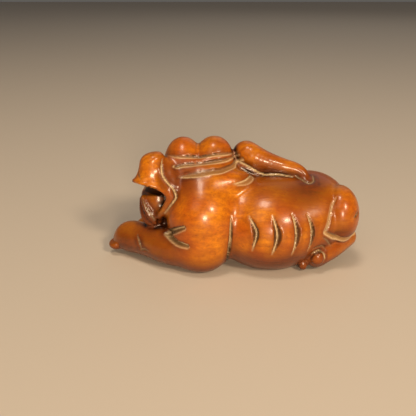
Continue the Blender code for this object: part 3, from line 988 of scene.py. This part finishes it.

# Each row is a place on the carving, how far the darkening spreads and how dark it is there. The
# rows are stain where it lies thick and painted shade where the carving lies in shade, as low on
# the belly, under the trunk, under the ear and on the nape
STAIN_AND_SHADE_PATCHES = (
    ((8.0, -6.0, 22.0), 7.0, 0.50),
    ((17.0, -7.5, 19.0), 6.0, 0.80),
    ((13.0, -12.5, 4.5), 4.5, 0.50),
    ((4.0, -12.0, 4.0), 4.0, 0.35),
    ((25.0, -10.5, 11.5), 3.5, 0.35),
    ((21.0, -3.0, 22.0), 5.0, 0.55),
    ((8.0, -1.5, 23.0), 3.5, 0.45),
    ((-14.5, -6.0, 23.0), 4.0, 0.80),
    ((-9.5, -8.0, 21.0), 4.0, 0.65),
    ((-4.0, -2.5, 29.0), 3.0, 0.30),
    ((-20.0, -5.5, 7.5), 5.0, 0.55),
    ((-15.5, -9.5, 6.5), 4.0, 0.50),
    ((-26.5, -2.0, 5.5), 3.5, 0.75),
    ((-19.5, -4.5, 13.0), 4.0, 0.90),
    ((-22.3, -3.5, 15.0), 2.5, 0.80),
    ((-17.0, 0.0, 10.0), 5.0, 0.80),
    ((20.0, -12.0, 9.0), 4.0, 0.30),
    ((26.5, -10.5, 9.8), 3.0, 0.50),
    ((3.0, 3.0, 25.0), 3.5, 0.30),
    ((10.0, 12.0, 18.0), 8.0, 0.35),
    ((-9.0, 12.0, 24.0), 5.0, 0.30),
    ((0.0, 12.0, 8.0), 7.0, 0.45),
)


def stain_and_shade(points, normals):
    """How dark the stain and painted shade are: painted shade low down, under the body and round every
    cut, and stain and painted shade in the rows above.
    """
    # Painted shade: darker low on the body and where the skin faces down
    depth = LOW_SHADE * np.clip(1 - points[:, 2] / LOW_HEIGHT, 0, 1)
    depth = depth + UNDER_SHADE * np.clip(-normals[:, 2] - UNDER_START, 0, 1)
    for place, reach, amount in STAIN_AND_SHADE_PATCHES:
        away = np.linalg.norm(points - np.array(place), axis=1) / reach
        depth = depth + amount * np.exp(-away * away)
    # Painted shade: a darker halo round each cut
    halo = np.zeros(len(points))
    for cut in CUTS:
        close, place, _, _, widths, _ = cut.across(points)
        away = np.maximum(np.abs(place) - widths, 0) / HALO_WIDTH
        size = np.clip(widths / FULL_WIDTH, 0, 1)
        halo[close] = np.maximum(halo[close], size * np.exp(-away * away))
    return np.clip(depth + HALO_SHADE * halo, 0, 1)


print(len(STAIN_AND_SHADE_PATCHES), "places are stained by hand")

# %% Measure recesses, cuts, stain and painted shade
# All in millimetres: how far out from the skin other wood is looked for, then how far the painted
# shadow in the ear's hollow goes below and above the brim and stays inside its edge, and how it fades
RECESS_REACHES = (1.0, 3.0)
BELOW_BRIM = 1.9
ABOVE_BRIM = 5.0
BRIM_EDGE = 0.45
GAP_FADE = 0.6
EDGE_FADE = 0.5


def recess_shade(points, normals, way):
    """1 where other wood stands close in front of the skin, 0 where nothing does."""
    return np.clip(1 - masses_field(points + normals * way) / way, 0, 1)


def shadow_under_ear(points):
    """Painted shadow, near black, in the hollow of the near ear and in the gap below it."""
    side, above = EarBell().beyond(points)
    gap = np.clip((above + BELOW_BRIM) / GAP_FADE, 0, 1) * np.clip(ABOVE_BRIM - above, 0, 1)
    return gap * np.clip((-side - BRIM_EDGE) / EDGE_FADE, 0, 1)


def store(mesh, name, values):
    attribute = mesh.attributes.new(name, "FLOAT", "POINT")
    attribute.data.foreach_set("value", np.ascontiguousarray(values, dtype=np.float32))


normals = np.empty(len(mesh.vertices) * 3)
mesh.vertices.foreach_get("normal", normals)
normals = normals.reshape(-1, 3)
# Painted shade: darker where other wood stands close in front of the skin, and near-black painted
# shadow in the ear's hollow and the gap below it
closeness = sum(recess_shade(points, normals, way) for way in RECESS_REACHES) / len(RECESS_REACHES)
store(mesh, "recess_shade", np.maximum(closeness, shadow_under_ear(points)))
for name, values in zip(("wall", "lit_facet", "wax_and_highlight"), finish_of_cuts(points)):
    store(mesh, name, values)
store(mesh, "stain_and_shade", stain_and_shade(points, normals))
print("recesses, cuts and stain are stored on", len(points), "vertices")

# %% [markdown]
# ## Back to the real size
#
# The drawing is in millimetres. The carved mesh is brought back to metres and onto the box of the
# simple model, corner to corner, so that the fine piece stands exactly where the simple one does.

# %% Put the carving in its place
drawn_low, drawn_high = points.min(axis=0), points.max(axis=0)
place_vertices(mesh, (points - drawn_low) * (high - low) / (drawn_high - drawn_low) + low)
mesh.shade_smooth()
mesh.materials.clear()
carving = bpy.data.objects.new("carved_elephant", mesh)
bpy.context.scene.collection.objects.link(carving)
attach(carving, "root")
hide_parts("elephant")
print("the carving measures", np.round((high - low) * MM, 1), "mm")

# %% [markdown]
# ## Stained and polished boxwood
#
# Boxwood is a dense, pale wood with pores too small to see, which is why carvers like it. This one
# was stained honey-orange, rubbed back on the proud places and polished with wax, and the dark fill
# of its fine pores gives short flecks along the grain. To the eye that is a warm orange with
# reddish brown where the stain lies thick, under a clear, soft gloss. Shade and light are painted
# into the colour as well: darker in recesses, under the ear, low down, under the body and on the
# steep walls of the cuts, paler on their broad walls and lips.
#
# The grain could be a picture wrapped round the piece, but a picture slides and stretches on a
# carving. Noise in the piece's own space runs through it as grain runs through a block, so each
# pattern is noise, stretched to the size that it has in the wood.

# %% A helper for colours and nodes
def linear(code):
    """An sRGB hex colour such as "c86a12" as the linear colour that a shader wants."""
    parts = [int(code[i : i + 2], 16) / 255 for i in (0, 2, 4)]
    return [c / 12.92 if c <= 0.04045 else ((c + 0.055) / 1.055) ** 2.4 for c in parts] + [1.0]


def add_node(tree, kind, values=None, links=None, **settings):
    """Adds a node, sets its own settings and socket values, and links sources to its sockets."""
    made = tree.nodes.new(kind)
    for name, value in settings.items():
        setattr(made, name, value)
    for socket, value in (values or {}).items():
        made.inputs[socket].default_value = value
    for socket, source in (links or {}).items():
        tree.links.new(source, made.inputs[socket])
    return made


print("honey orange is", [round(part, 3) for part in linear("d2740c")[:3]])

# %% [markdown]
# Real pores of boxwood are about 0.05 mm wide, too fine to show here, so the flecks are drawn about
# five times as wide.

# %% The patterns in the wood and the layers of colour
# Each row is a pattern, its size in millimetres along the grain and twice across it, its detail, and
# the noise at which it starts and is full
PATTERNS = (
    ("clouds", (7.69, 7.69, 7.69), 3.0, 0.36, 0.64),
    ("grain", (8.33, 1.11, 1.11), 3.0, 0.36, 0.64),
    ("mottle", (0.909, 0.588, 0.588), 3.0, 0.42, 0.66),
    ("flecks", (0.667, 0.238, 0.238), 2.0, 0.60, 0.74),
)
HONEY_LIGHT, HONEY_DARK = "dc8404", "bc5c03"
# Each row is what lies over the honey orange, where it starts and is full, its strength and colour.
# The darkening of recesses and of the cuts' steep walls is painted shade, the pale broad walls are
# painted light, the pale lines are wax and painted highlight, and the stain holds painted shade too
LAYERS = (
    ("stain_and_shade", 0.0, 1.0, 0.92, "431403"),
    ("grain", 0.0, 1.0, 0.42, "863d06"),
    ("mottle", 0.0, 1.0, 0.40, "8a4004"),
    ("recess_shade", 0.25, 0.85, 0.96, "1c0a04"),
    ("wall", 0.0, 1.0, 0.75, "54351c"),
    ("lit_facet", 0.0, 1.0, 0.70, "b48a54"),
    ("wax_and_highlight", 0.0, 1.0, 0.85, "e6c796"),
    ("flecks", 0.0, 1.0, 0.45, "4a1c08"),
)
print(len(PATTERNS), "patterns and", len(LAYERS), "layers of colour")

# %% The boxwood
def polished_boxwood():
    material = bpy.data.materials.new("stained_polished_boxwood")
    material.use_nodes = True
    tree = material.node_tree
    shader = tree.nodes["Principled BSDF"]
    amounts = {}
    for name in ("recess_shade", "wall", "lit_facet", "wax_and_highlight", "stain_and_shade"):
        stored = add_node(tree, "ShaderNodeAttribute", attribute_name=name)
        amounts[name] = stored.outputs["Fac"]

    place = add_node(tree, "ShaderNodeTexCoord").outputs["Object"]
    for name, size, detail, start, full in PATTERNS:
        scale = [MM / length for length in size]
        laid = add_node(tree, "ShaderNodeMapping", {"Scale": scale}, {"Vector": place})
        noise = add_node(
            tree,
            "ShaderNodeTexNoise",
            {"Scale": 1.0, "Detail": detail, "Roughness": 0.55},
            {"Vector": laid.outputs["Vector"]},
        )
        spread = add_node(
            tree,
            "ShaderNodeMapRange",
            {"From Min": start, "From Max": full},
            {"Value": noise.outputs["Fac"]},
        )
        amounts[name] = spread.outputs["Result"]

    honey = {6: linear(HONEY_LIGHT), 7: linear(HONEY_DARK)}
    base = add_node(tree, "ShaderNodeMix", honey, {0: amounts["clouds"]}, data_type="RGBA")
    colour = base.outputs[2]
    for name, start, full, strength, code in LAYERS:
        share = add_node(
            tree,
            "ShaderNodeMapRange",
            {"From Min": start, "From Max": full, "To Max": strength},
            {"Value": amounts[name]},
        )
        layer = add_node(
            tree,
            "ShaderNodeMix",
            {7: linear(code)},
            {0: share.outputs["Result"], 6: colour},
            data_type="RGBA",
        )
        colour = layer.outputs[2]
    tree.links.new(colour, shader.inputs["Base Color"])

    shader.inputs["Roughness"].default_value = 0.32
    shader.inputs["IOR"].default_value = 1.36
    shader.inputs["Coat Weight"].default_value = 0.4
    shader.inputs["Coat Roughness"].default_value = 0.16
    bump = add_node(
        tree, "ShaderNodeBump", {"Strength": 0.25, "Distance": 0.00006}, {"Height": amounts["grain"]}
    )
    tree.links.new(bump.outputs["Normal"], shader.inputs["Normal"])
    return material


carving.data.materials.append(polished_boxwood())
print("the finish is", carving.data.materials[0].name)

# %% [markdown]
# ## The table and the light
#
# The carving stands on a plain pale table. Two compact soft lights stand in front and give the bright
# spots on shoulder and trunk, one hangs overhead, and large, weak ones on the left and behind fill
# the shadows, as in a small studio.

# %% The table
def pale_table():
    material = bpy.data.materials.new("pale_matt_card")
    material.use_nodes = True
    shader = material.node_tree.nodes["Principled BSDF"]
    shader.inputs["Base Color"].default_value = linear("cfc4b6")
    shader.inputs["Roughness"].default_value = 0.7
    return material


TABLE_HALF = 1.5
table_mesh = bpy.data.meshes.new("table")
corners = [(-1, -1), (1, -1), (1, 1), (-1, 1)]
table_mesh.from_pydata([(x * TABLE_HALF, y * TABLE_HALF, 0) for x, y in corners], [], [(0, 1, 2, 3)])
table_mesh.materials.append(pale_table())
table = bpy.data.objects.new("table", table_mesh)
bpy.context.scene.collection.objects.link(table)
print("the table is", 2 * TABLE_HALF, "m across")

# %% The lights
# Each row is a light: its name, the turn and height in degrees at which it stands as seen from the
# carving, its distance and size in metres, its power in watts and its colour
LIGHTS = (
    ("front softbox", 6, 14, 0.6, 0.10, 2.3, "ffe6c4"),
    ("second softbox", 34, 36, 0.6, 0.09, 1.8, "ffe6c4"),
    ("left softbox", -30, 45, 0.6, 0.25, 0.3, "ffe6c4"),
    ("overhead softbox", -30, 76, 0.6, 0.13, 1.1, "ffecd4"),
    ("far softbox", 160, 40, 0.9, 0.70, 0.5, "f4f0ea"),
)


def soft_light(name, turn, height, distance, size, power, colour):
    """A square light, placed by its direction as seen from the carving, and aimed at it."""
    light = bpy.data.lights.new(name, "AREA")
    light.size = size
    light.energy = power
    light.color = linear(colour)[:3]
    lamp = bpy.data.objects.new(name, light)
    flat = distance * np.cos(radians(height))
    middle = Vector((0, 0, (low[2] + high[2]) / 2))
    offset = (flat * np.sin(radians(turn)), -flat * np.cos(radians(turn)))
    lamp.location = middle + Vector((*offset, distance * np.sin(radians(height))))
    lamp.rotation_euler = (lamp.location - middle).to_track_quat("Z", "Y").to_euler()
    bpy.context.scene.collection.objects.link(lamp)


for row in LIGHTS:
    soft_light(*row)

world = bpy.data.worlds.new("pale room")
world.use_nodes = True
room = world.node_tree.nodes["Background"]
room.inputs["Color"].default_value = linear("d8d2cc")
room.inputs["Strength"].default_value = 0.16
bpy.context.scene.world = world
bpy.context.scene.view_settings.view_transform = "Standard"
print(len(LIGHTS), "soft lights and a pale room")

# %% [markdown]
# ## The fine piece in its box
#
# The fine piece has to fill the same box as the simple one.

# %% Finish
print("the fine piece stands in the simple one's box")
